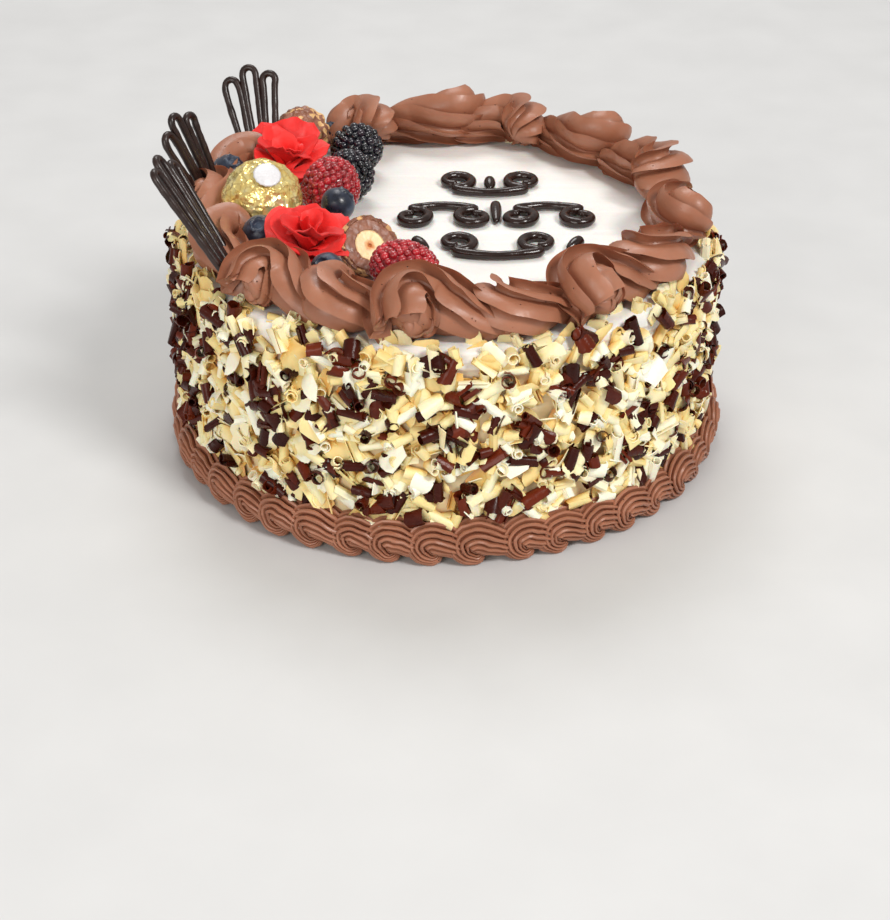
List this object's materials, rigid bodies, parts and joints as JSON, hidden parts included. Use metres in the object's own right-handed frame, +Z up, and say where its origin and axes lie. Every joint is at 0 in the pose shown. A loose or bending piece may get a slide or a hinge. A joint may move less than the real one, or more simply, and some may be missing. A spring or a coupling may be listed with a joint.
{
  "type": "chocolate berry cake",
  "caption": "Round cream cake with chocolate curls on its wall, piped shell border and swirls, topped with berries, roses, nut chocolates, chocolate fans and piped scrolls.",
  "frame": {"origin": "middle of the flat underside", "axes": "+Z up, -Y towards the front, +X to the right seen from the front, the heap of toppings on the left"},
  "size_m": [0.2357, 0.2358, 0.1403],
  "materials": {
    "white_cream": "soft satin whipped cream",
    "white_curls": "waxy white chocolate",
    "dark_curls": "waxy dark chocolate",
    "chocolate_cream": "satin piped chocolate cream",
    "gold_foil": "crumpled shiny foil",
    "label_paper": "plain white paper",
    "nut_coating": "chopped nuts under milk chocolate",
    "nut_filling": "smooth nut cream",
    "hazelnut": "cut nut, pale",
    "raspberry": "moist, slightly downy",
    "bramble": "glossy, nearly black",
    "blueberry": "waxy bloom",
    "rose_petal": "matt sugar paste",
    "dark_chocolate": "glossy tempered chocolate"
  },
  "bodies": {
    "root": {"cake": "white_cream", "bottom_border": "chocolate_cream", "top_swirl_1": "chocolate_cream", "top_swirl_2": "chocolate_cream", "top_swirl_3": "chocolate_cream", "top_swirl_4": "chocolate_cream", "top_swirl_5": "chocolate_cream", "top_swirl_6": "chocolate_cream", "top_swirl_7": "chocolate_cream", "top_swirl_8": "chocolate_cream", "top_swirl_9": "chocolate_cream", "top_swirl_10": "chocolate_cream", "top_swirl_11": "chocolate_cream", "top_swirl_12": "chocolate_cream", "top_swirl_13": "chocolate_cream", "top_swirl_14": "chocolate_cream", "top_swirl_15": "chocolate_cream", "top_swirl_16": "chocolate_cream", "foil_ball": "gold_foil", "foil_ball_label": "label_paper", "nut_ball": "nut_coating", "cut_ball_coating": "nut_coating", "cut_ball_filling": "nut_filling", "cut_ball_hazelnut": "hazelnut", "raspberry_1": "raspberry", "raspberry_2": "raspberry", "bramble_1": "bramble", "bramble_2": "bramble", "blueberry_1": "blueberry", "blueberry_2": "blueberry", "blueberry_3": "blueberry", "blueberry_4": "blueberry", "blueberry_5": "blueberry", "rose_1": "rose_petal", "rose_2": "rose_petal", "chocolate_fan_1": "dark_chocolate", "chocolate_fan_2": "dark_chocolate", "chocolate_fan_3": "dark_chocolate", "piped_scroll_1": "dark_chocolate", "piped_scroll_2": "dark_chocolate", "piped_scroll_3": "dark_chocolate", "piped_scroll_4": "dark_chocolate", "piped_drop_1": "dark_chocolate", "piped_drop_2": "dark_chocolate", "piped_drop_3": "dark_chocolate", "piped_drop_4": "dark_chocolate"}
  },
  "joints": []
}
